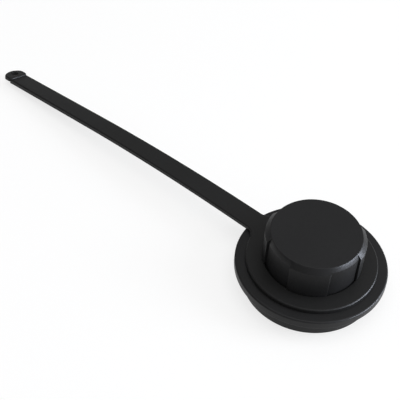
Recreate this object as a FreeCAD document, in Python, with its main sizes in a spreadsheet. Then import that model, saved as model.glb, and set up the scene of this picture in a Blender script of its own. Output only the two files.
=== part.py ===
import FreeCAD, Part
import math
import os
import Sketcher
from FreeCAD import Placement, Rotation, Vector

# Sealing cap for a round connector, with a retaining strap.
# Frame: origin on the cap's axis in the plane of its rim, +Z up through the knob, strap towards -X.
# Lengths are in millimetres and angles in degrees.

SIZES = [
    # The socket that the connector screws into, and the seat of the gasket above it
    ("thread_radius", 15.0, "root of the coupling thread"),
    ("thread_depth", 4.5, "rim to the face of the gasket"),
    ("mouth_bevel", 0.8, "lead-in at the mouth of the socket"),
    ("gasket_ledge", 0.8, "how much smaller than the thread the gasket is, all round"),
    ("gasket_band", 3.6, "width of the gasket from its outside to its hole"),
    ("gasket_thick", 1.5, "thickness of the gasket"),
    ("gasket_play", 0.05, "gap round the gasket in its seat"),
    # The skirt and flange of the cap
    ("skirt_wall", 2.6, "wall of the skirt round the thread"),
    ("rim_bevel", 0.4, "bevel of the rim's outer edge"),
    ("web_thick", 1.8, "wall between the gasket's seat and the top of the flange"),
    ("flange_overhang", 2.4, "how far the flange stands out from the skirt"),
    ("flange_thick", 2.6, "thickness of the flange at its edge"),
    ("flange_round", 0.5, "rounding of the flange's upper edge"),
    ("flange_bevel", 0.4, "bevel of the flange's lower edge"),
    # The knob with its grip lobes, hollow inside
    ("neck_radius", 12.35, "neck that the strap turns on, and floor of the grip recesses"),
    ("neck_wall", 2.3, "wall of the neck at the mouth of the hollow"),
    ("core_draft", 0.4, "how much narrower the hollow is at its roof"),
    ("core_bevel", 1.2, "bevel of the hollow's roof corner"),
    ("roof_thick", 2.2, "roof of the knob"),
    ("knob_height", 11.0, "top of the flange to the top of the knob"),
    ("bevel_width", 1.25, "how much smaller than the lobes the flat top is, all round"),
    ("bevel_drop", 1.4, "height of the bevel round the top"),
    ("lobe_step", 0.65, "how far the lobes stand out from the neck"),
    ("lobe_count", 4, "number of grip lobes"),
    ("recess_angle", 43.0, "width of each recess between two lobes"),
    ("recess_turn", 75.4, "direction of the first recess, from +X"),
    ("lobe_round", 0.25, "rounding of the lobes' upright edges"),
    # The strap and its ring
    ("ring_inset", 2.8, "edge of the flange to the outside of the ring"),
    ("ring_play", 0.3, "gap between ring and neck, all round"),
    ("ring_lift", 0.2, "gap between the ring and the lobes above it"),
    ("strap_thick", 1.3, "thickness of ring and strap"),
    ("strap_width", 6.3, "width of the strap"),
    ("strap_reach", 119.0, "cap's axis to the tip of the strap"),
    ("strap_bevel", 0.25, "bevel of the upper edges of ring and strap"),
    ("root_round", 3.6, "rounding of the corners between ring and strap"),
    ("bend_margin", 1.4, "edge of the flange to where the strap starts to droop"),
    ("bend_run", 60.0, "level distance over which it bends"),
    ("tip_lift", 0.8, "height of the tip above the plane of the rim"),
    ("tip_twist", 13.5, "how far the strap is twisted about its length at the tip"),
    # The eyelet at the strap's tip
    ("pad_length", 4.4, "length of the raised pad, from the tip"),
    ("pad_margin", 0.25, "how far the pad stands out past the sides of the strap"),
    ("pad_thick", 1.2, "thickness of the pad"),
    ("pad_lift", 0.5, "height of the pad's underside above that of the strap"),
    ("pad_lap", 0.6, "how far the strap runs into the pad"),
    ("pad_crown", 1.0, "how much flatter than a half round the end is, added to its radius"),
    ("pad_nose", 1.6, "rounding of the two corners at the tip"),
    ("pad_heel", 1.1, "rounding of the two corners at the strap"),
    ("pad_bevel", 0.2, "bevel of the pad's upper edge"),
    ("screw_radius", 1.2, "radius of the screw hole"),
    ("screw_inset", 2.2, "tip of the pad to the middle of the screw hole"),
]

SEAT_FLOOR = "(Sizes.thread_depth + Sizes.gasket_thick)"
FLANGE_TOP = "(" + SEAT_FLOOR + " + Sizes.web_thick)"
FLANGE_FOOT = "(" + FLANGE_TOP + " - Sizes.flange_thick)"
KNOB_TOP = "(" + FLANGE_TOP + " + Sizes.knob_height)"
KNOB_ROOF = "(" + KNOB_TOP + " - Sizes.roof_thick)"
LOBE_FOOT = "(" + FLANGE_TOP + " + Sizes.strap_thick + Sizes.ring_lift)"
SKIRT_RADIUS = "(Sizes.thread_radius + Sizes.skirt_wall)"
FLANGE_RADIUS = "(" + SKIRT_RADIUS + " + Sizes.flange_overhang)"
GASKET_RADIUS = "(Sizes.thread_radius - Sizes.gasket_ledge)"
GASKET_HOLE = "(" + GASKET_RADIUS + " - Sizes.gasket_band)"
SEAT_RADIUS = "(" + GASKET_RADIUS + " + Sizes.gasket_play)"
CORE_RADIUS = "(Sizes.neck_radius - Sizes.neck_wall)"
CORE_ROOF_RADIUS = "(" + CORE_RADIUS + " - Sizes.core_draft)"
LOBE_RADIUS = "(Sizes.neck_radius + Sizes.lobe_step)"
TOP_RADIUS = "(" + LOBE_RADIUS + " - Sizes.bevel_width)"
BEVEL_FOOT = "(" + KNOB_TOP + " - Sizes.bevel_drop)"
RECESS_REACH = "(" + LOBE_RADIUS + " + Sizes.lobe_step)"
RING_RADIUS = "(" + FLANGE_RADIUS + " - Sizes.ring_inset)"
BEND_START = "(" + FLANGE_RADIUS + " + Sizes.bend_margin)"
STRAP_HALF = "(Sizes.strap_width / 2)"
PAD_HALF = "(" + STRAP_HALF + " + Sizes.pad_margin)"
PAD_CROWN = "(" + PAD_HALF + " + Sizes.pad_crown)"
# Cross-section of the strap, with its upper edges bevelled
STRAP_SECTION = [
    ("-" + STRAP_HALF, "0"),
    (STRAP_HALF, "0"),
    (STRAP_HALF, "Sizes.strap_thick - Sizes.strap_bevel"),
    (STRAP_HALF + " - Sizes.strap_bevel", "Sizes.strap_thick"),
    ("-" + STRAP_HALF + " + Sizes.strap_bevel", "Sizes.strap_thick"),
    ("-" + STRAP_HALF, "Sizes.strap_thick - Sizes.strap_bevel"),
]

UP = Vector(0, 0, 1)
WHOLE_TURN = 360
# A turn of nought would forget its axis, so every turn starts from this angle
FIRST_TURN = 1
# Stands a sketch on edge across a plane
ACROSS = Rotation(Vector(1, 1, 1), WHOLE_TURN / 3)
TOUCH = 0.001

doc = FreeCAD.newDocument("SealingCap")
sheet = doc.addObject("Spreadsheet::Sheet", "Sizes")
for row, (alias, number, meaning) in enumerate(SIZES, start=1):
    sheet.set(f"A{row}", meaning)
    sheet.set(f"B{row}", str(number))
    sheet.setAlias(f"B{row}", alias)
doc.recompute()


def size(expression):
    """The present value of an expression on the sheet, as a plain number."""
    return float(sheet.evalExpression(expression))


def new_body(label):
    body = doc.addObject("PartDesign::Body", label)
    body.Label = label
    return body


def origin_part(body, role):
    return next(item for item in body.Origin.OriginFeatures if item.Role == role)


def lay_on(item, plane):
    item.AttachmentSupport = [(plane, "")]
    item.MapMode = "FlatFace"


def new_sketch(body, name, plane):
    sketch = body.newObject("Sketcher::SketchObject", name)
    lay_on(sketch, plane)
    return sketch


def shift(item, direction, distance):
    """Move a sketch or plane along an axis of the plane that it lies on."""
    item.setExpression("AttachmentOffset.Base." + direction, distance)


def turn_about(item, axis, angle):
    """Turn a sketch or plane in place, by an angle on the sheet."""
    item.AttachmentOffset = Placement(Vector(), Rotation(axis, FIRST_TURN))
    item.setExpression("AttachmentOffset.Rotation.Angle", angle)


def new_plane(body, name, support, axis, angle):
    """A plane that is turned against the one it lies on."""
    plane = body.newObject("PartDesign::Plane", name)
    lay_on(plane, support)
    turn_about(plane, axis, angle)
    return plane


def bind(sketch, kind, places, expression):
    """Add one dimension to a sketch and tie it to the sheet."""
    index = sketch.addConstraint(Sketcher.Constraint(kind, *places, size(expression)))
    sketch.setExpression(f"Constraints[{index}]", expression)


def outline(sketch, corners):
    """Draw a closed outline of straight lines whose corners are pairs of expressions."""
    points = [Vector(size(across), size(up), 0) for across, up in corners]
    count = len(points)
    lines = [Part.LineSegment(points[i], points[(i + 1) % count]) for i in range(count)]
    first = sketch.addGeometry(lines, False)[0]
    for i in range(count):
        sketch.addConstraint(Sketcher.Constraint("Coincident", first + i, 2, first + (i + 1) % count, 1))
    for i, (across, up) in enumerate(corners):
        bind(sketch, "DistanceX", (-1, 1, first + i, 1), across)
        bind(sketch, "DistanceY", (-1, 1, first + i, 1), up)


def circle(sketch, radius):
    """Draw a circle about the sketch's origin."""
    index = sketch.addGeometry(Part.Circle(Vector(), UP, size(radius)), False)
    sketch.addConstraint(Sketcher.Constraint("Coincident", index, 3, -1, 1))
    bind(sketch, "Radius", (index,), radius)


def turned(body, name, sketch):
    feature = body.newObject("PartDesign::Revolution", name)
    feature.Profile = sketch
    feature.ReferenceAxis = (sketch, ["V_Axis"])
    feature.Angle = WHOLE_TURN
    return feature


def dress_edges(body, kind, name, wanted):
    """A fillet or chamfer on those edges of the body for which wanted(edge) is true."""
    doc.recompute()
    base = body.Tip
    names = [f"Edge{i}" for i, edge in enumerate(base.Shape.Edges, start=1) if wanted(edge)]
    if not names:
        raise RuntimeError(name + " finds no edge")
    feature = body.newObject("PartDesign::" + kind, name)
    feature.Base = (base, names)
    return feature


def round_edges(body, name, radius, wanted):
    dress_edges(body, "Fillet", name, wanted).setExpression("Radius", radius)
    doc.recompute()


def bevel_edges(body, name, width, wanted):
    dress_edges(body, "Chamfer", name, wanted).setExpression("Size", width)
    doc.recompute()


def near(a, b):
    return abs(a - b) < TOUCH


def is_ring(edge, radius, height):
    """True for a full circle about the axis with this radius and height."""
    curve = edge.Curve
    return (
        edge.Closed
        and isinstance(curve, Part.Circle)
        and near(curve.Radius, size(radius))
        and near(curve.Center.z, size(height))
    )


def is_along(edge, direction):
    """True for a straight edge that runs in this direction."""
    if not isinstance(edge.Curve, Part.Line):
        return False
    return near(abs(edge.tangentAt(edge.FirstParameter).dot(direction)), 1)


def is_upright(edge):
    """True for a straight edge parallel to the axis."""
    return is_along(edge, UP)


def middle_of(edge):
    return edge.valueAt((edge.FirstParameter + edge.LastParameter) / 2)


def from_axis(point):
    return math.hypot(point.x, point.y)


# Cap body: one turned profile for skirt, flange, neck and knob, with the socket and the hollow inside
cap = new_body("cap_body")
cap_profile = new_sketch(cap, "cap_profile", origin_part(cap, "XZ_Plane"))
outline(cap_profile, [
    ("Sizes.thread_radius + Sizes.mouth_bevel", "0"),
    (SKIRT_RADIUS + " - Sizes.rim_bevel", "0"),
    (SKIRT_RADIUS, "Sizes.rim_bevel"),
    (SKIRT_RADIUS, FLANGE_FOOT),
    (FLANGE_RADIUS + " - Sizes.flange_bevel", FLANGE_FOOT),
    (FLANGE_RADIUS, FLANGE_FOOT + " + Sizes.flange_bevel"),
    (FLANGE_RADIUS, FLANGE_TOP),
    ("Sizes.neck_radius", FLANGE_TOP),
    ("Sizes.neck_radius", LOBE_FOOT),
    (LOBE_RADIUS, LOBE_FOOT),
    (LOBE_RADIUS, BEVEL_FOOT),
    (TOP_RADIUS, KNOB_TOP),
    ("0", KNOB_TOP),
    ("0", KNOB_ROOF),
    (CORE_ROOF_RADIUS + " - Sizes.core_bevel", KNOB_ROOF),
    (CORE_ROOF_RADIUS, KNOB_ROOF + " - Sizes.core_bevel"),
    (CORE_RADIUS, SEAT_FLOOR),
    (SEAT_RADIUS, SEAT_FLOOR),
    (SEAT_RADIUS, "Sizes.thread_depth"),
    ("Sizes.thread_radius", "Sizes.thread_depth"),
    ("Sizes.thread_radius", "Sizes.mouth_bevel"),
])
turned(cap, "cap_turned", cap_profile)
doc.recompute()

# Grip recesses: one sector cut back to the neck, with a steeper bevel up to the same flat top, repeated
recess = new_sketch(cap, "grip_recess_profile", origin_part(cap, "XZ_Plane"))
turn_about(recess, Vector(0, 1, 0), "Sizes.recess_turn")
outline(recess, [
    ("Sizes.neck_radius", LOBE_FOOT),
    (RECESS_REACH, LOBE_FOOT),
    (RECESS_REACH, KNOB_TOP),
    (TOP_RADIUS, KNOB_TOP),
    ("Sizes.neck_radius", BEVEL_FOOT),
])
uncut_volume = cap.Shape.Volume
recess_cut = cap.newObject("PartDesign::Groove", "grip_recess")
recess_cut.Profile = recess
recess_cut.ReferenceAxis = (recess, ["V_Axis"])
recess_cut.setExpression("Angle", "Sizes.recess_angle")
recess_cut.Midplane = True
doc.recompute()
if cap.Shape.Volume > uncut_volume - TOUCH:
    raise RuntimeError("the grip recess removes nothing")
recesses = cap.newObject("PartDesign::PolarPattern", "grip_recesses")
recesses.Originals = [recess_cut]
recesses.Axis = (origin_part(cap, "Z_Axis"), [""])
recesses.Angle = WHOLE_TURN
recesses.setExpression("Occurrences", "Sizes.lobe_count")
cap.Tip = recesses

# Moulded edges of the cap
lobe_radius = size(LOBE_RADIUS)
round_edges(
    cap, "lobe_rounds", "Sizes.lobe_round",
    lambda edge: is_upright(edge) and near(from_axis(edge.Vertexes[0].Point), lobe_radius),
)
round_edges(cap, "flange_round", "Sizes.flange_round", lambda edge: is_ring(edge, FLANGE_RADIUS, FLANGE_TOP))

# Face gasket: a flat washer in its seat at the bottom of the socket
gasket = new_body("face_gasket")
gasket_plan = new_sketch(gasket, "gasket_plan", origin_part(gasket, "XY_Plane"))
shift(gasket_plan, "z", "Sizes.thread_depth")
circle(gasket_plan, GASKET_RADIUS)
circle(gasket_plan, GASKET_HOLE)
gasket_pad = gasket.newObject("PartDesign::Pad", "gasket_washer")
gasket_pad.Profile = gasket_plan
gasket_pad.setExpression("Length", "Sizes.gasket_thick")

# Retaining strap: a flat ring round the neck, with the level root of the strap
strap = new_body("retaining_strap")
ring_plan = new_sketch(strap, "ring_plan", origin_part(strap, "XY_Plane"))
shift(ring_plan, "z", FLANGE_TOP)
ring_end = size(RING_RADIUS)
strap_half = size(STRAP_HALF)
root_x = -size(BEND_START)
root_angle = math.pi - math.asin(strap_half / ring_end)
corner = Vector(ring_end * math.cos(root_angle), strap_half, 0)
ring_plan.addGeometry([
    Part.ArcOfCircle(Part.Circle(Vector(), UP, ring_end), -root_angle, root_angle),
    Part.LineSegment(corner, Vector(root_x, strap_half, 0)),
    Part.LineSegment(Vector(root_x, strap_half, 0), Vector(root_x, -strap_half, 0)),
    Part.LineSegment(Vector(root_x, -strap_half, 0), Vector(corner.x, -corner.y, 0)),
], False)
ring_plan.addConstraint([
    Sketcher.Constraint("Coincident", 0, 3, -1, 1),
    Sketcher.Constraint("Coincident", 0, 2, 1, 1),
    Sketcher.Constraint("Coincident", 1, 2, 2, 1),
    Sketcher.Constraint("Coincident", 2, 2, 3, 1),
    Sketcher.Constraint("Coincident", 3, 2, 0, 1),
    Sketcher.Constraint("Symmetric", 0, 1, 0, 2, -1),
    Sketcher.Constraint("Symmetric", 2, 1, 2, 2, -1),
    Sketcher.Constraint("Horizontal", 1),
])
bind(ring_plan, "Radius", (0,), RING_RADIUS)
bind(ring_plan, "DistanceY", (-1, 1, 1, 1), STRAP_HALF)
bind(ring_plan, "DistanceX", (-1, 1, 1, 2), "-" + BEND_START)
circle(ring_plan, "Sizes.neck_radius + Sizes.ring_play")
strap_ring = strap.newObject("PartDesign::Pad", "strap_ring")
strap_ring.Profile = ring_plan
strap_ring.setExpression("Length", "Sizes.strap_thick")
doc.recompute()
ring_top = size(FLANGE_TOP + " + Sizes.strap_thick")


def is_root_corner(edge):
    """True for the two upright edges between the ring and the strap."""
    point = middle_of(edge)
    return is_upright(edge) and near(point.x, corner.x) and near(abs(point.y), strap_half)


def is_ring_edge(edge):
    """True for the ring's upper outer edge, which runs on along both sides of the root."""
    point = middle_of(edge)
    return near(point.z, ring_top) and near(from_axis(point), ring_end)


round_edges(strap, "root_rounds", "Sizes.root_round", is_root_corner)
bevel_edges(strap, "ring_bevel", "Sizes.strap_bevel", is_ring_edge)

# The way of the strap's underside from its root to the tip: a droop, then a straight run
way = new_sketch(strap, "strap_way", origin_part(strap, "XZ_Plane"))
ring_z = size(FLANGE_TOP)
tip = Vector(-size("Sizes.strap_reach"), size("Sizes.tip_lift"), 0)
bend_run = size("Sizes.bend_run")
straight_run = root_x - bend_run - tip.x
slope = math.atan((ring_z - tip.y) / (bend_run / 2 + straight_run))
bend_radius = bend_run / math.sin(slope)
bend_centre = Vector(root_x, ring_z - bend_radius, 0)
bend_end = bend_centre + Vector(-math.sin(slope), math.cos(slope), 0) * bend_radius
strap_end = tip + Vector(math.cos(slope), math.sin(slope), 0) * size("Sizes.pad_length - Sizes.pad_lap")
upright = math.pi / 2
way.addGeometry([
    Part.ArcOfCircle(Part.Circle(bend_centre, UP, bend_radius), upright, upright + slope),
    Part.LineSegment(bend_end, strap_end),
], False)
level = way.addGeometry(Part.LineSegment(Vector(-ring_end, ring_z, 0), Vector(root_x, ring_z, 0)), True)
to_tip = way.addGeometry(Part.LineSegment(strap_end, tip), True)
way.addConstraint([
    Sketcher.Constraint("Horizontal", level),
    Sketcher.Constraint("Tangent", level, 2, 0, 1),
    Sketcher.Constraint("Tangent", 0, 2, 1, 1),
    Sketcher.Constraint("Coincident", 1, 2, to_tip, 1),
    Sketcher.Constraint("Parallel", 1, to_tip),
])
bind(way, "DistanceX", (-1, 1, level, 1), "-" + RING_RADIUS)
bind(way, "DistanceY", (-1, 1, level, 1), FLANGE_TOP)
bind(way, "DistanceX", (-1, 1, 0, 1), "-" + BEND_START)
bind(way, "DistanceX", (-1, 1, 1, 1), "-" + BEND_START + " - Sizes.bend_run")
bind(way, "DistanceX", (-1, 1, to_tip, 2), "-Sizes.strap_reach")
bind(way, "DistanceY", (-1, 1, to_tip, 2), "Sizes.tip_lift")
bind(way, "Distance", (to_tip,), "Sizes.pad_length - Sizes.pad_lap")
slope_row = way.addConstraint(Sketcher.Constraint("Angle", 1, 2, -1, 1, slope))
way.setDriving(slope_row, False)
way.renameConstraint(slope_row, "tip_slope")
doc.recompute()

# Two planes at the tip: one slopes with the strap, the other is twisted as well
TIP_SLOPE = "abs(strap_way.Constraints.tip_slope)"
tip_plane = new_plane(strap, "tip_plane", origin_part(strap, "XY_Plane"), Vector(0, -1, 0), TIP_SLOPE)
shift(tip_plane, "x", "-Sizes.strap_reach")
shift(tip_plane, "z", "Sizes.tip_lift")
twisted_plane = new_plane(strap, "twisted_plane", tip_plane, Vector(-1, 0, 0), "Sizes.tip_twist")

# The strap is swept from the section at its root to the twisted one at the tip
root_section = new_sketch(strap, "root_section", origin_part(strap, "YZ_Plane"))
shift(root_section, "y", FLANGE_TOP)
shift(root_section, "z", "-" + BEND_START)
outline(root_section, STRAP_SECTION)
tip_section = new_sketch(strap, "tip_section", twisted_plane)
tip_section.AttachmentOffset = Placement(Vector(), ACROSS)
shift(tip_section, "x", "Sizes.pad_length - Sizes.pad_lap")
outline(tip_section, STRAP_SECTION)
strap_sweep = strap.newObject("PartDesign::AdditivePipe", "strap_sweep")
strap_sweep.Profile = root_section
strap_sweep.Spine = way
strap_sweep.Transformation = "Multisection"
strap_sweep.Sections = [tip_section]
doc.recompute()

# The eyelet: a raised pad drawn on the twisted plane, with a crowned end and a screw hole
eyelet = new_sketch(strap, "eyelet_plan", twisted_plane)
shift(eyelet, "z", "Sizes.pad_lift")
heel_x = size("Sizes.pad_length")
pad_half = size(PAD_HALF)
pad_crown = size(PAD_CROWN)
pad_centre = Vector(pad_crown, 0, 0)
nose_angle = math.pi - math.asin(pad_half / pad_crown)
nose = Vector(pad_crown + pad_crown * math.cos(nose_angle), pad_half, 0)
eyelet.addGeometry([
    Part.ArcOfCircle(Part.Circle(pad_centre, UP, pad_crown), nose_angle, 2 * math.pi - nose_angle),
    Part.LineSegment(Vector(nose.x, -nose.y, 0), Vector(heel_x, -pad_half, 0)),
    Part.LineSegment(Vector(heel_x, -pad_half, 0), Vector(heel_x, pad_half, 0)),
    Part.LineSegment(Vector(heel_x, pad_half, 0), nose),
    Part.Circle(Vector(size("Sizes.screw_inset"), 0, 0), UP, size("Sizes.screw_radius")),
], False)
eyelet.addConstraint([
    Sketcher.Constraint("Coincident", 0, 2, 1, 1),
    Sketcher.Constraint("Coincident", 1, 2, 2, 1),
    Sketcher.Constraint("Coincident", 2, 2, 3, 1),
    Sketcher.Constraint("Coincident", 3, 2, 0, 1),
    Sketcher.Constraint("PointOnObject", 0, 3, -1),
    Sketcher.Constraint("PointOnObject", 4, 3, -1),
    Sketcher.Constraint("Symmetric", 0, 1, 0, 2, -1),
    Sketcher.Constraint("Symmetric", 2, 1, 2, 2, -1),
    Sketcher.Constraint("Horizontal", 3),
])
bind(eyelet, "Radius", (0,), PAD_CROWN)
bind(eyelet, "DistanceX", (-1, 1, 0, 3), PAD_CROWN)
bind(eyelet, "DistanceX", (-1, 1, 2, 2), "Sizes.pad_length")
bind(eyelet, "DistanceY", (-1, 1, 2, 2), PAD_HALF)
bind(eyelet, "Radius", (4,), "Sizes.screw_radius")
bind(eyelet, "DistanceX", (-1, 1, 4, 3), "Sizes.screw_inset")
eyelet_pad = strap.newObject("PartDesign::Pad", "eyelet_pad")
eyelet_pad.Profile = eyelet
eyelet_pad.setExpression("Length", "Sizes.pad_thick")
doc.recompute()
to_pad = eyelet.Placement.inverse()
pad_normal = eyelet.Placement.Rotation.multVec(UP)
pad_top = size("Sizes.pad_thick")


def is_pad_corner(edge, along):
    """True for the pad's two upright corners at this distance from the tip."""
    point = to_pad.multVec(middle_of(edge))
    return is_along(edge, pad_normal) and near(point.x, along) and near(abs(point.y), pad_half)


def is_pad_edge(edge):
    """True for the edges round the top of the pad, but not round its hole."""
    point = to_pad.multVec(middle_of(edge))
    return near(point.z, pad_top) and not edge.Closed


round_edges(strap, "nose_rounds", "Sizes.pad_nose", lambda edge: is_pad_corner(edge, nose.x))
round_edges(strap, "heel_rounds", "Sizes.pad_heel", lambda edge: is_pad_corner(edge, heel_x))
bevel_edges(strap, "pad_bevel", "Sizes.pad_bevel", is_pad_edge)

# Checks, then one file for each piece
PIECES = (cap, gasket, strap)
doc.recompute()
failed = [item.Name for item in doc.Objects if {"Invalid", "Error"} & set(item.State)]
if failed:
    raise RuntimeError("failed: " + ", ".join(failed))
for piece in PIECES:
    if piece.Shape.isNull() or not piece.Shape.isValid():
        raise RuntimeError(piece.Label + " has no valid shape")
os.makedirs("parts", exist_ok=True)
for piece in PIECES:
    piece.Shape.exportStep(os.path.join("parts", piece.Label + ".step"))
    print(piece.Label, len(piece.Shape.Solids), "solid,", round(piece.Shape.Volume), "cubic mm")
    print(piece.Shape.BoundBox)
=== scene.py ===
# %% [markdown]
# # A sealing cap on its strap
# The cap screws over a round connector and keeps dust and water out while nothing is plugged in. A flat
# strap swivels on the cap's neck, so the cap can be turned while the strap's eyelet stays screwed to a
# panel. Everything is black moulding, so the picture lives from crisp edges, dark gaps and soft
# reflections. The solids already have the true shape and size. This script gives them soft edges, finishes,
# a thread and a studio.

# %% Load the solids
import math

import bmesh
import bpy
from mathutils import Matrix, Vector


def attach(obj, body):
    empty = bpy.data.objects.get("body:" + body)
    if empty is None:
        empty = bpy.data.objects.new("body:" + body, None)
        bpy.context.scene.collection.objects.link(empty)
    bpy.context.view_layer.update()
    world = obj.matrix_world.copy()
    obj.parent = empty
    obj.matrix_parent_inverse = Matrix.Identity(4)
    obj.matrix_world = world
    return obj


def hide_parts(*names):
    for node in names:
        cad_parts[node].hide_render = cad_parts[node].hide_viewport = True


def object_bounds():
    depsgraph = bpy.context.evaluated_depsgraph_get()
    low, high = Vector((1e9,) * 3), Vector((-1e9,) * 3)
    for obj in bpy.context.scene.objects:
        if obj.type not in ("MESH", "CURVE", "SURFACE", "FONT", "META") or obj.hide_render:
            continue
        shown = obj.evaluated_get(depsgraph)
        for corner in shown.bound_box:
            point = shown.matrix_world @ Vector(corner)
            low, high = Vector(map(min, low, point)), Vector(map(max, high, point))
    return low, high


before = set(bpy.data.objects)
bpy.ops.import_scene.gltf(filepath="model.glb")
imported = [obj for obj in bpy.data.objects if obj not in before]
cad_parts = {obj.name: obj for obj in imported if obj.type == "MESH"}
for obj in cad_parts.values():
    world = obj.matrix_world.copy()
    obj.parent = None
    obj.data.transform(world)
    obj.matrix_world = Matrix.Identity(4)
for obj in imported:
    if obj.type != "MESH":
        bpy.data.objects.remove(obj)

MM = 0.001
scene = bpy.context.scene
cad_low, cad_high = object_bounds()
print("solids:", sorted(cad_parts), "box", [round(x / MM, 2) for x in cad_high - cad_low], "mm")

# %% [markdown]
# ## Camera
# The product is seen from above at about 46 degrees, through a long lens and with a slightly tilted
# horizon. A camera can be placed by eye, but a small error bends every ellipse. Here its place, turn and
# lens were worked out from the circles of the flange and the knob, so the circles of the model fall on the
# real ones.

# %% Camera
CAMERA_PLACE = Vector((84.0, -152.3, 204.2)) * MM
CAMERA_TURN = math.radians(38.80)
CAMERA_DIP = math.radians(45.87)
CAMERA_ROLL = math.radians(4.08)
FOCAL_LENGTH = 90.2
SENSOR_WIDTH = 36

lens = bpy.data.cameras.new("product_lens")
lens.sensor_width = SENSOR_WIDTH
lens.lens = FOCAL_LENGTH
camera = bpy.data.objects.new("product_camera", lens)
scene.collection.objects.link(camera)
camera.matrix_world = (
    Matrix.Translation(CAMERA_PLACE)
    @ Matrix.Rotation(CAMERA_TURN, 4, "Z")
    @ Matrix.Rotation(math.pi / 2 - CAMERA_DIP, 4, "X")
    @ Matrix.Rotation(CAMERA_ROLL, 4, "Z")
)
scene.camera = camera
scene.view_settings.view_transform = "Standard"
print("camera", round(CAMERA_PLACE.length / MM), "mm from the cap")

# %% [markdown]
# ## Building with nodes
# Floor, room, finishes and thread are all node trees. A tree is a list of nodes and links, and written out
# in full it is hard to read. These helpers add a node and fill its sockets by name in one call, each with a
# plain value or with another node's output. In a keyword, an underscore stands for a space in the socket's
# name.

# %% Building with nodes


def fill(tree, socket, value):
    """Put a value on a socket, or link another node's output to it."""
    if isinstance(value, bpy.types.NodeSocket):
        tree.links.new(value, socket)
    else:
        socket.default_value = value


def node_at(tree, kind, x, y, **values):
    """Add a node at a place in the tree and fill its named sockets."""
    node = tree.nodes.new(kind)
    node.location = (x, y)
    for label, value in values.items():
        fill(tree, node.inputs[label.replace("_", " ")], value)
    return node


def worked_out(tree, x, y, operation, first, second):
    """The result of one step of arithmetic on two values."""
    node = node_at(tree, "ShaderNodeMath", x, y)
    node.operation = operation
    fill(tree, node.inputs[0], first)
    fill(tree, node.inputs[1], second)
    return node.outputs[0]


def empty_tree(owner):
    """The node tree of a new material or world, with nothing in it."""
    owner.use_nodes = True
    owner.node_tree.nodes.clear()
    return owner.node_tree


print("helpers:", [helper.__name__ for helper in (fill, node_at, worked_out, empty_tree)])

# %% [markdown]
# ## Which rays see the white
# A pale floor under plain light comes out grey next to a black object. More light would wash out the black,
# so floor and room glow instead, but only for rays that look at them: straight from the camera, or by way
# of a reflection or glass. The rays that carry light onto the object meet plain paint and a dim room.

# %% Which rays see the white


def seen_rays(tree, x, y):
    """Two masks: rays straight from the camera, and these together with mirrored and refracted ones."""
    path = node_at(tree, "ShaderNodeLightPath", x, y)
    by_eye = path.outputs["Is Camera Ray"]
    mirrored = worked_out(tree, x + 200, y, "MAXIMUM", by_eye, path.outputs["Is Glossy Ray"])
    seen = worked_out(tree, x + 400, y, "MAXIMUM", mirrored, path.outputs["Is Transmission Ray"])
    return by_eye, seen


print("masks for the camera's rays and for all that look at the backdrop")

# %% [markdown]
# ## Floor
# The product lies on a white sheet. To the camera the sheet is white all over. What the black plastic
# mirrors is another matter: a sheet that went on for ever would lift every wall to grey, so in reflections
# the white is a pool round the object that fades out within arm's length, as on a small product table. The
# paint below the glow still takes the lamps' light, so the object keeps its soft shadow.

# %% Floor paint
FLOOR_GREY = (0.30, 0.30, 0.30, 1)
FLOOR_GLOW = 0.75
FAR_GLOW = 0.05
POOL_INNER = 0.18
POOL_OUTER = 0.40

floor_paint = bpy.data.materials.new("white_sheet")
tree = empty_tree(floor_paint)
by_eye, seen = seen_rays(tree, -400, 300)
place = node_at(tree, "ShaderNodeTexCoord", -1000, -200)
distance = node_at(tree, "ShaderNodeVectorMath", -800, -200)
distance.operation = "LENGTH"
fill(tree, distance.inputs[0], place.outputs["Object"])
pool = node_at(
    tree, "ShaderNodeMapRange", -600, -200, Value=distance.outputs["Value"],
    From_Min=POOL_INNER, From_Max=POOL_OUTER, To_Min=FLOOR_GLOW, To_Max=FAR_GLOW,
)
pool.interpolation_type = "SMOOTHSTEP"
to_the_eye = worked_out(tree, -400, 0, "MULTIPLY", by_eye, FLOOR_GLOW)
strength = worked_out(tree, -200, -200, "MAXIMUM", to_the_eye, pool.outputs[0])

paint = node_at(tree, "ShaderNodeBsdfDiffuse", 0, 0, Color=FLOOR_GREY)
glow = node_at(tree, "ShaderNodeEmission", 0, -200, Strength=strength)
lifted = node_at(tree, "ShaderNodeAddShader", 200, -100)
fill(tree, lifted.inputs[0], paint.outputs[0])
fill(tree, lifted.inputs[1], glow.outputs[0])
choice = node_at(tree, "ShaderNodeMixShader", 400, 0)
fill(tree, choice.inputs[0], seen)
fill(tree, choice.inputs[1], paint.outputs[0])
fill(tree, choice.inputs[2], lifted.outputs[0])
node_at(tree, "ShaderNodeOutputMaterial", 600, 0, Surface=choice.outputs[0])
print("floor paint:", len(tree.nodes), "nodes")

# %% Floor
FLOOR_HALF = 4.0
FLOOR_DROP = 0.02 * MM
CORNERS = ((-1, -1), (1, -1), (1, 1), (-1, 1))

floor_mesh = bpy.data.meshes.new("floor")
floor_corners = [(x * FLOOR_HALF, y * FLOOR_HALF, -FLOOR_DROP) for x, y in CORNERS]
floor_mesh.from_pydata(floor_corners, [], [(0, 1, 2, 3)])
floor_mesh.materials.append(floor_paint)
floor = bpy.data.objects.new("floor", floor_mesh)
scene.collection.objects.link(floor)
print("floor", 2 * FLOOR_HALF, "m wide")

# %% [markdown]
# ## Room
# The room lights the object evenly and weakly from all round. In reflections it has a bright side, high up
# behind the cap on the right, and a dark side: the flat tops mirror the bright side and turn charcoal,
# while the walls that face the other way stay black. One dot product with the direction of the window gives
# that change.

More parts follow.
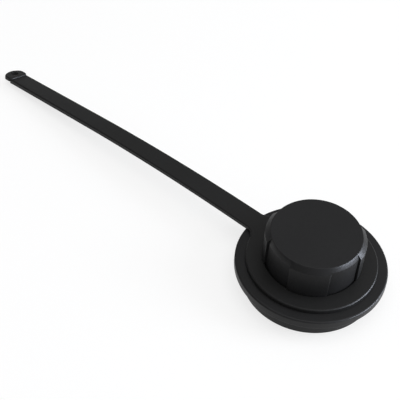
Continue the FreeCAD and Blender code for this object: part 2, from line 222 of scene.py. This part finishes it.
# %% Room
WHITE = (1, 1, 1, 1)
ROOM_LIGHT = 0.35
ROOM_WHITE = 0.86
TO_WINDOW = (0.5, 0.4, 0.77)
DARK_SIDE = 0.2
BRIGHT_SIDE = 0.6
FULLY_BRIGHT = 0.7

room = bpy.data.worlds.new("studio_room")
scene.world = room
tree = empty_tree(room)
by_eye, seen = seen_rays(tree, -700, 300)
direction = node_at(tree, "ShaderNodeTexCoord", -1000, -200)
facing = node_at(tree, "ShaderNodeVectorMath", -800, -200)
facing.operation = "DOT_PRODUCT"
fill(tree, facing.inputs[0], direction.outputs["Generated"])
fill(tree, facing.inputs[1], TO_WINDOW)
wall = node_at(
    tree, "ShaderNodeMapRange", -600, -200, Value=facing.outputs["Value"],
    From_Min=0.0, From_Max=FULLY_BRIGHT, To_Min=DARK_SIDE, To_Max=BRIGHT_SIDE,
)
to_the_eye = worked_out(tree, -400, 0, "MULTIPLY", by_eye, ROOM_WHITE)
strength = worked_out(tree, -200, -200, "MAXIMUM", to_the_eye, wall.outputs[0])

lighting = node_at(tree, "ShaderNodeBackground", 0, 0, Color=WHITE, Strength=ROOM_LIGHT)
backdrop = node_at(tree, "ShaderNodeBackground", 0, -200, Color=WHITE, Strength=strength)
choice = node_at(tree, "ShaderNodeMixShader", 300, 0)
fill(tree, choice.inputs[0], seen)
fill(tree, choice.inputs[1], lighting.outputs[0])
fill(tree, choice.inputs[2], backdrop.outputs[0])
node_at(tree, "ShaderNodeOutputWorld", 500, 0, Surface=choice.outputs[0])
print("room:", len(tree.nodes), "nodes")

# %% [markdown]
# ## Lamps
# Black plastic shows its lamps as reflections, so each lamp is placed for the surface that mirrors it. A
# long low strip on the right draws the pale band on the knob's bevel. It is there for reflections only: as
# a light it would rake over the floor. A small softbox on the same side shades the walls, and a wide one
# overhead gives the soft shadow under the strap and the flange.

# %% Lamps
AIM = Vector((-10, 0, 8)) * MM
BLUISH = (0.80, 0.86, 1.0)
COOL = (0.92, 0.95, 1.0)
NEUTRAL = (1.0, 1.0, 1.0)


def softbox(name, direction, distance, width, height, watts, tint):
    """A rectangular lamp that faces the object from this direction."""
    lamp = bpy.data.lights.new(name, "AREA")
    lamp.shape = "RECTANGLE"
    lamp.size = width
    lamp.size_y = height
    lamp.energy = watts
    lamp.color = tint
    holder = bpy.data.objects.new(name, lamp)
    scene.collection.objects.link(holder)
    away = Vector(direction).normalized()
    holder.location = AIM + away * distance
    holder.rotation_euler = away.to_track_quat("Z", "Y").to_euler()
    return holder


strip = softbox(
    "strip_light", direction=(0.88, 0.46, 0.075), distance=0.75,
    width=0.62, height=0.11, watts=16.5, tint=BLUISH,
)
strip.visible_diffuse = False
softbox(
    "side_softbox", direction=(0.75, 0.55, 0.55), distance=0.8,
    width=0.4, height=0.4, watts=3.0, tint=COOL,
)
softbox(
    "top_softbox", direction=(0.1, -0.1, 1.0), distance=0.9,
    width=0.8, height=0.8, watts=3.0, tint=NEUTRAL,
)

# %% [markdown]
# ## The moulded surface
# A mould is spark-eroded to a fine grain, and every part that comes out of it copies that grain. The colour
# of the plastic is never quite even either, and handling leaves faint smoother patches. All three finishes
# share this effect, so it is one node group, placed in each material with that material's values. First
# come its sockets and three noises on the object's own coordinates: the grain, soft clouds about a
# centimetre wide, and tiny flecks.

# %% The moulded surface: sockets and noises
CLOUDS_PER_METRE = 70.0
FLECKS_PER_METRE = 1400.0
SOCKETS = (
    ("Place", "INPUT", "NodeSocketVector"),
    ("Plastic", "INPUT", "NodeSocketColor"),
    ("Bloom", "INPUT", "NodeSocketColor"),
    ("Bloom Share", "INPUT", "NodeSocketFloat"),
    ("Grain Scale", "INPUT", "NodeSocketFloat"),
    ("Smooth", "INPUT", "NodeSocketFloat"),
    ("Rough", "INPUT", "NodeSocketFloat"),
    ("Color", "OUTPUT", "NodeSocketColor"),
    ("Roughness", "OUTPUT", "NodeSocketFloat"),
    ("Grain", "OUTPUT", "NodeSocketFloat"),
)
moulded = bpy.data.node_groups.new("moulded_surface", "ShaderNodeTree")
for label, side, kind in SOCKETS:
    moulded.interface.new_socket(label, in_out=side, socket_type=kind)
given = node_at(moulded, "NodeGroupInput", -900, 0).outputs


def noise(y, scale, detail, roughness):
    """A noise over the piece, with this many features in a metre."""
    texture = node_at(
        moulded, "ShaderNodeTexNoise", -500, y,
        Vector=given["Place"], Scale=scale, Detail=detail, Roughness=roughness,
    )
    return texture.outputs[0]


grain = noise(-300, given["Grain Scale"], detail=3.0, roughness=0.6)
cloud = noise(0, CLOUDS_PER_METRE, detail=4.0, roughness=0.55)
fleck = noise(300, FLECKS_PER_METRE, detail=2.0, roughness=0.5)
print("moulded surface:", len(SOCKETS), "sockets and three noises")

# %% [markdown]
# Where clouds and flecks are both strong, a pale bloom shows through the colour, as on plastic fresh from
# the mould. The clouds alone move the roughness between a smooth and a rough value. The grain is passed on
# as it is, because a group may put out a height, but the bump itself belongs to the material.

# %% The moulded surface: colour and roughness
FAINT_CLOUD = 0.3
STRONG_CLOUD = 0.7

mottle = worked_out(moulded, -250, 200, "MULTIPLY", cloud, fleck)
bloomed = worked_out(moulded, -50, 200, "MULTIPLY", mottle, given["Bloom Share"])
tone = moulded.nodes.new("ShaderNodeMix")
tone.data_type = "RGBA"
tone.location = (200, 200)
fill(moulded, tone.inputs["Factor"], bloomed)
fill(moulded, tone.inputs["A"], given["Plastic"])
fill(moulded, tone.inputs["B"], given["Bloom"])
patches = node_at(
    moulded, "ShaderNodeMapRange", 0, -100, Value=cloud,
    From_Min=FAINT_CLOUD, From_Max=STRONG_CLOUD, To_Min=given["Smooth"], To_Max=given["Rough"],
)
node_at(
    moulded, "NodeGroupOutput", 700, 0,
    Color=tone.outputs["Result"], Roughness=patches.outputs[0], Grain=grain,
)
print("moulded surface:", len(moulded.nodes), "nodes")

# %% [markdown]
# ## Three finishes
# The cap is hard nylon with a fine matte grain. The strap is a softer compound, a little duller. The gasket
# is plain sealing rubber with a greyish bloom. They differ only in the values given to the group, so one
# function makes all three. The gloss is one number for the whole surface and sits on the shader itself.

# %% Three finishes


def finish(name, plastic, bloom, bloom_share, grain_scale, grain_depth, smooth, rough, gloss):
    """One moulded finish: the shared group feeds colour, roughness and a fine bump."""
    material = bpy.data.materials.new(name)
    tree = empty_tree(material)
    place = node_at(tree, "ShaderNodeTexCoord", -700, 0)
    skin = tree.nodes.new("ShaderNodeGroup")
    skin.node_tree = moulded
    skin.location = (-450, 0)
    values = {
        "Place": place.outputs["Object"],
        "Plastic": (*plastic, 1),
        "Bloom": (*bloom, 1),
        "Bloom Share": bloom_share,
        "Grain Scale": grain_scale,
        "Smooth": smooth,
        "Rough": rough,
    }
    for label, value in values.items():
        fill(tree, skin.inputs[label], value)
    bump = node_at(
        tree, "ShaderNodeBump", -200, -250,
        Strength=1.0, Distance=grain_depth, Height=skin.outputs["Grain"],
    )
    shader = node_at(
        tree, "ShaderNodeBsdfPrincipled", 50, 0, Base_Color=skin.outputs["Color"],
        Roughness=skin.outputs["Roughness"], Specular_IOR_Level=gloss, Normal=bump.outputs[0],
    )
    node_at(tree, "ShaderNodeOutputMaterial", 350, 0, Surface=shader.outputs[0])
    return material


cap_plastic = finish(
    "black_nylon", plastic=(0.012, 0.012, 0.0125), bloom=(0.030, 0.030, 0.032), bloom_share=0.4,
    grain_scale=5500, grain_depth=0.006 * MM, smooth=0.38, rough=0.46, gloss=0.20,
)
strap_plastic = finish(
    "black_strap_compound", plastic=(0.011, 0.011, 0.011), bloom=(0.028, 0.028, 0.029), bloom_share=0.4,
    grain_scale=4200, grain_depth=0.006 * MM, smooth=0.40, rough=0.50, gloss=0.20,
)
gasket_rubber = finish(
    "sealing_rubber", plastic=(0.020, 0.020, 0.020), bloom=(0.070, 0.070, 0.072), bloom_share=0.6,
    grain_scale=3000, grain_depth=0.02 * MM, smooth=0.55, rough=0.7, gloss=0.25,
)
print("finishes:", [m.name for m in (cap_plastic, strap_plastic, gasket_rubber)])

# %% [markdown]
# ## Hard edges
# No moulded edge is perfectly sharp: a radius of about a tenth of a millimetre catches the light as a fine
# line. A Bevel modifier set to an angle would round far too much here, because the curved faces of the
# solids are made of narrow triangles that also meet at clear angles. So an edge counts as hard only where
# both of its faces are wider than the radius. A bevel needs that room on either side in any case.

# %% Hard edges
HARD_ANGLE = math.radians(14)


def is_hard(edge, width):
    """True where two faces that are both wider than this meet at a clear angle."""
    if len(edge.link_faces) != 2 or edge.calc_face_angle() < HARD_ANGLE:
        return False
    return all(face.calc_area() > width * edge.calc_length() for face in edge.link_faces)


print("an edge is hard from", round(math.degrees(HARD_ANGLE)), "degrees on")

# %% [markdown]
# ## Joined copies
# A solid arrives as loose triangles. Its copy is joined at the corners, and flat faces become single faces
# again, so that a bevel has whole edges to work on. Long thin faces may be cut across once: their normals
# are blended from corner to corner, and a cut keeps what happens at one end from showing as a streak along
# the whole face.

# %% Joined copies
SAME_POINT = 0.001 * MM
FLAT_ANGLE = math.radians(0.05)


def joined(node, cut_at=None):
    """The shape of one solid as a single connected mesh, cut across at one place along X if asked."""
    shape = bmesh.new()
    shape.from_mesh(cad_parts[node].data)
    bmesh.ops.remove_doubles(shape, verts=shape.verts, dist=SAME_POINT)
    bmesh.ops.dissolve_limit(shape, angle_limit=FLAT_ANGLE, verts=shape.verts, edges=shape.edges)
    if cut_at is not None:
        everything = [*shape.verts, *shape.edges, *shape.faces]
        bmesh.ops.bisect_plane(
            shape, geom=everything, dist=SAME_POINT, plane_co=(cut_at, 0, 0), plane_no=(1, 0, 0),
        )
    return shape


print("points closer than", SAME_POINT / MM, "mm are joined")

# %% [markdown]
# ## Plain meshes
# A modifier is only a recipe. Its result becomes an ordinary mesh through the evaluated object, and a new
# object of the same name then carries that mesh with no modifier left.

# %% Plain meshes


def baked(obj):
    """Turn an object with modifiers into a plain mesh object of the same name."""
    bpy.context.view_layer.update()
    mesh = bpy.data.meshes.new_from_object(obj.evaluated_get(bpy.context.evaluated_depsgraph_get()))
    name = obj.name
    bpy.data.objects.remove(obj)
    mesh.name = name
    plain = bpy.data.objects.new(name, mesh)
    scene.collection.objects.link(plain)
    return plain


print("helper:", baked.__name__)

# %% [markdown]
# ## Softened pieces
# The hard outer edges are rounded in three steps. Where several edges meet, a round can leave two points in
# one place with an empty face between them, so the points are joined once more. Hard inner corners stay as
# they are, but are marked sharp, because smooth shading across them would make a straight wall look hollow.
# Weighted normals then keep the flat faces flat beside the rounds.

# %% Softened pieces
ROUND_STEPS = 3
CIRCULAR = 0.5


def nowhere(edge):
    """No edge at all."""
    return False


def softened(shape, name, radius, material, stays_sharp=nowhere, is_round=nowhere):
    """A piece with its hard outer edges rounded, but for those that stay sharp or are round already."""
    hard = [e for e in shape.edges if is_hard(e, width=radius) and not is_round(e)]
    outer = [e for e in hard if e.is_convex and not stays_sharp(e)]
    bmesh.ops.bevel(
        shape, geom=outer, offset=radius, offset_type="OFFSET", segments=ROUND_STEPS, profile=CIRCULAR,
        affect="EDGES", clamp_overlap=False,
    )
    bmesh.ops.remove_doubles(shape, verts=shape.verts, dist=SAME_POINT)
    hard = [e for e in shape.edges if is_hard(e, width=0.0) and not is_round(e)]
    sharp = [e for e in hard if stays_sharp(e) or not e.is_convex]
    for edge in sharp:
        edge.smooth = False
    mesh = bpy.data.meshes.new(name)
    shape.to_mesh(mesh)
    shape.free()
    mesh.shade_smooth()
    mesh.materials.append(material)
    piece = bpy.data.objects.new(name, mesh)
    scene.collection.objects.link(piece)
    piece.modifiers.new("even_normals", "WEIGHTED_NORMAL").keep_sharp = True
    piece = baked(piece)
    faces = len(piece.data.polygons)
    print(name, "has", len(outer), "rounded and", len(sharp), "sharp edges,", faces, "faces")
    return piece


# %% [markdown]
# ## The flange's round
# The flange's upper edge has a larger round, already in the solid. As a mesh it is a band of thin triangles
# of uneven length, and normals averaged over them flicker along the edge. More triangles would not help.
# The true normals are easy to give, though: each points away from a circle that runs inside the flange, at
# the round's centre. The flange is what reaches furthest along +X, so the frame's box gives its radius.

# %% The flange's round
FLANGE_ROUND = 0.5 * MM
FLANGE_TOP = 7.8 * MM
CENTRE_RADIUS = cad_high.x - FLANGE_ROUND
CENTRE_HEIGHT = FLANGE_TOP - FLANGE_ROUND
TOLERANCE = 0.005 * MM


def round_normal(place):
    """The true normal at a point of the flange's round, and None elsewhere."""
    outwards = Vector((place.x, place.y, 0))
    across = Vector((outwards.length - CENTRE_RADIUS, place.z - CENTRE_HEIGHT))
    if min(across) < -TOLERANCE or abs(across.length - FLANGE_ROUND) > TOLERANCE:
        return None
    return (outwards.normalized() * across.x + Vector((0, 0, across.y))).normalized()


def on_the_round(edge):
    """True for an edge with both ends on the flange's round."""
    return all(round_normal(vertex.co) for vertex in edge.verts)


def smooth_the_round(mesh):
    """Write the true normals onto the flange's round and count them."""
    normals = [Vector(corner.vector) for corner in mesh.corner_normals]
    count = 0
    for corner in mesh.loops:
        true_normal = round_normal(mesh.vertices[corner.vertex_index].co)
        if true_normal:
            normals[corner.index] = true_normal
            count += 1
    mesh.normals_split_custom_set(normals)
    return count


print("flange's round:", FLANGE_ROUND / MM, "mm about a circle of", round(CENTRE_RADIUS / MM, 2), "mm")

# %% [markdown]
# ## Cap
# One moulding: a knob with four shallow lobes for the fingers, a neck for the strap's ring, a flange that
# covers the connector's rim, and a skirt with the socket below. Its edges are crisp, so they get a small
# radius. At the ends of each lobe a short edge runs up the bevel into the flat top, where it fades to
# nothing. A round there would have nowhere to end, so these few edges stay sharp.

# %% Cap
CAP_ROUND = 0.10 * MM
LOBE_TOP = 17.5 * MM


def climbs_the_bevel(edge):
    """True for the short edges at the lobes' ends that run up to the flat top."""
    heights = [vertex.co.z for vertex in edge.verts]
    return max(heights) > LOBE_TOP and max(heights) - min(heights) > edge.calc_length() / 2


cap = softened(joined("cap_body"), "cap_moulding", CAP_ROUND, cap_plastic, climbs_the_bevel, on_the_round)
print("flange's round:", smooth_the_round(cap.data), "normals set")
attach(cap, "cap")
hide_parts("cap_body")

# %% [markdown]
# ## Strap
# The ring lies loosely round the neck, and the flat band droops from it to the raised eyelet at its tip. It
# could be drawn here as a curve with a profile, but its bend, its slight twist and the eyelet are all in
# the solid. The copy only gets its softened edges. The band's long faces all end in the corners of the
# eyelet's pad, so they are cut just before it. The strap rides on its own body, because the ring turns on
# the neck.

# %% Strap
STRAP_ROUND = 0.08 * MM
JUST_BEFORE_PAD = -114.2 * MM

strap = softened(joined("retaining_strap", JUST_BEFORE_PAD), "strap_moulding", STRAP_ROUND, strap_plastic)
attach(strap, "strap")
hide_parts("retaining_strap")

# %% [markdown]
# ## Gasket
# A flat rubber washer lies at the bottom of the socket, where the connector's rim presses on it. Rubber is
# cut or moulded with softer corners than hard plastic, so its radius is the largest of the three.

# %% Gasket
GASKET_ROUND = 0.12 * MM

gasket = softened(joined("face_gasket"), "gasket_washer", GASKET_ROUND, gasket_rubber)
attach(gasket, "cap")
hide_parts("face_gasket")

# %% [markdown]
# ## Coupling thread: its sizes
# The socket's wall stands at the root of the thread, and the ridge winds round inside it. A Screw modifier
# could spin a profile, but a moulded thread fades out at both ends. The ridge follows a path, so Geometry
# Nodes make it, and every size is a named input of the tree. The path's radius is a hair larger than the
# wall's, so the ridge's foot is sunk into the wall and leaves no gap.

# %% Coupling thread: its sizes
THREAD_SIZES = (
    ("Root Radius", 15.05 * MM),
    ("Depth", 0.85 * MM),
    ("Foot Width", 1.10 * MM),
    ("Crest Width", 0.45 * MM),
    ("Edge Round", 0.12 * MM),
    ("Start", 1.35 * MM),
    ("Rise", 2.60 * MM),
    ("Turns", 1.73),
)
winding = bpy.data.node_groups.new("coupling_thread", "GeometryNodeTree")
winding.interface.new_socket("Geometry", in_out="OUTPUT", socket_type="NodeSocketGeometry")
for label, value in THREAD_SIZES:
    size = winding.interface.new_socket(label, in_out="INPUT", socket_type="NodeSocketFloat")
    size.default_value = value
winding.interface.new_socket("Material", in_out="INPUT", socket_type="NodeSocketMaterial")
given = node_at(winding, "NodeGroupInput", -1200, 0).outputs
print("thread inputs:", [socket.name for socket in given if socket.name])

# %% [markdown]
# ## Coupling thread: its path
# The path is a spiral with one radius at both ends, lifted to where the thread begins. A spiral turns
# clockwise as it rises, which would be a left-hand thread, so it is reversed. Its normals are kept level,
# because free normals would roll the profile along the way. The curve's own radius scales the profile: a
# float curve lets it swell from almost nothing to full size and fall again.

# %% Coupling thread: its path
RUN_OUT = 0.09
ENDS = 0.02
STEPS_PER_TURN = 96

helix = node_at(
    winding, "GeometryNodeCurveSpiral", -900, 200, Resolution=STEPS_PER_TURN, Rotations=given["Turns"],
    Start_Radius=given["Root Radius"], End_Radius=given["Root Radius"],
    Height=given["Rise"], Reverse=True,
)
lift = node_at(winding, "ShaderNodeCombineXYZ", -900, -100, Z=given["Start"])
lifted = node_at(
    winding, "GeometryNodeTransform", -650, 200, Geometry=helix.outputs[0], Translation=lift.outputs[0],
)
upright = node_at(winding, "GeometryNodeSetCurveNormal", -400, 200, Curve=lifted.outputs[0])
upright.mode = "Z_UP"

along = node_at(winding, "GeometryNodeSplineParameter", -900, -300)
fade = node_at(winding, "ShaderNodeFloatCurve", -650, -300, Value=along.outputs["Factor"])
points = fade.mapping.curves[0].points
points[0].location = (0.0, ENDS)
points[1].location = (1.0, ENDS)
points.new(RUN_OUT, 1.0)
points.new(1.0 - RUN_OUT, 1.0)
fade.mapping.update()
swelling = node_at(
    winding, "GeometryNodeSetCurveRadius", -150, 200, Curve=upright.outputs[0], Radius=fade.outputs[0],
)
print("thread path fades over", round(100 * RUN_OUT), "% at each end")

# %% [markdown]
# ## Coupling thread: its profile
# The profile is a trapezoid with rounded corners, wide at the foot and narrow at the crest. It is turned so
# that its height points to the axis, and moved by half its height so that its foot lies on the path. A
# profile that shrinks then sinks into the wall at the ends instead of floating in front of it.

# %% Coupling thread: its profile
CORNER_STEPS = 2

trapezoid = node_at(winding, "GeometryNodeCurvePrimitiveQuadrilateral", -400, -300)
trapezoid.mode = "TRAPEZOID"
fill(winding, trapezoid.inputs["Bottom Width"], given["Foot Width"])
fill(winding, trapezoid.inputs["Top Width"], given["Crest Width"])
fill(winding, trapezoid.inputs["Height"], given["Depth"])
fill(winding, trapezoid.inputs["Offset"], 0)
rounded = node_at(winding, "GeometryNodeFilletCurve", -200, -300, Curve=trapezoid.outputs[0])
rounded.mode = "POLY"
fill(winding, rounded.inputs["Count"], CORNER_STEPS)
fill(winding, rounded.inputs["Radius"], given["Edge Round"])
half_depth = worked_out(winding, -650, -500, "MULTIPLY", given["Depth"], -0.5)
shift = node_at(winding, "ShaderNodeCombineXYZ", -400, -550, X=half_depth)
inward = node_at(
    winding, "GeometryNodeTransform", 0, -300, Geometry=rounded.outputs[0],
    Translation=shift.outputs[0], Rotation=(0, 0, math.pi / 2),
)
print("thread profile:", trapezoid.mode.lower(), "with rounded corners")

# %% [markdown]
# ## Coupling thread: the ridge
# Curve to Mesh sweeps the profile along the path. The tree ends by realizing what it made and giving it the
# cap's own plastic. The inputs are set before the first evaluation, and the result becomes a plain mesh
# that rides with the cap.

# %% Coupling thread: the ridge
sweep = node_at(
    winding, "GeometryNodeCurveToMesh", 200, 100,
    Curve=swelling.outputs[0], Profile_Curve=inward.outputs[0], Fill_Caps=True,
)
real = node_at(winding, "GeometryNodeRealizeInstances", 450, 100, Geometry=sweep.outputs[0])
painted = node_at(
    winding, "GeometryNodeSetMaterial", 700, 100, Geometry=real.outputs[0], Material=given["Material"],
)
node_at(winding, "NodeGroupOutput", 1000, 0, Geometry=painted.outputs[0])

thread = bpy.data.objects.new("thread_ridge", bpy.data.meshes.new("thread_ridge"))
scene.collection.objects.link(thread)
modifier = thread.modifiers.new("winding", "NODES")
modifier.node_group = winding
sockets = {item.name: item.identifier for item in winding.interface.items_tree}
for label, value in THREAD_SIZES:
    modifier[sockets[label]] = value
modifier[sockets["Material"]] = cap_plastic
thread = baked(thread)
thread.data.shade_smooth()
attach(thread, "cap")
radii = [Vector(v.co[:2]).length / MM for v in thread.data.vertices]
heights = [v.co.z / MM for v in thread.data.vertices]
print("thread: radius %.2f to %.2f mm" % (min(radii), max(radii)))
print("thread: height %.2f to %.2f mm" % (min(heights), max(heights)))
print("thread:", len(thread.data.polygons), "faces")
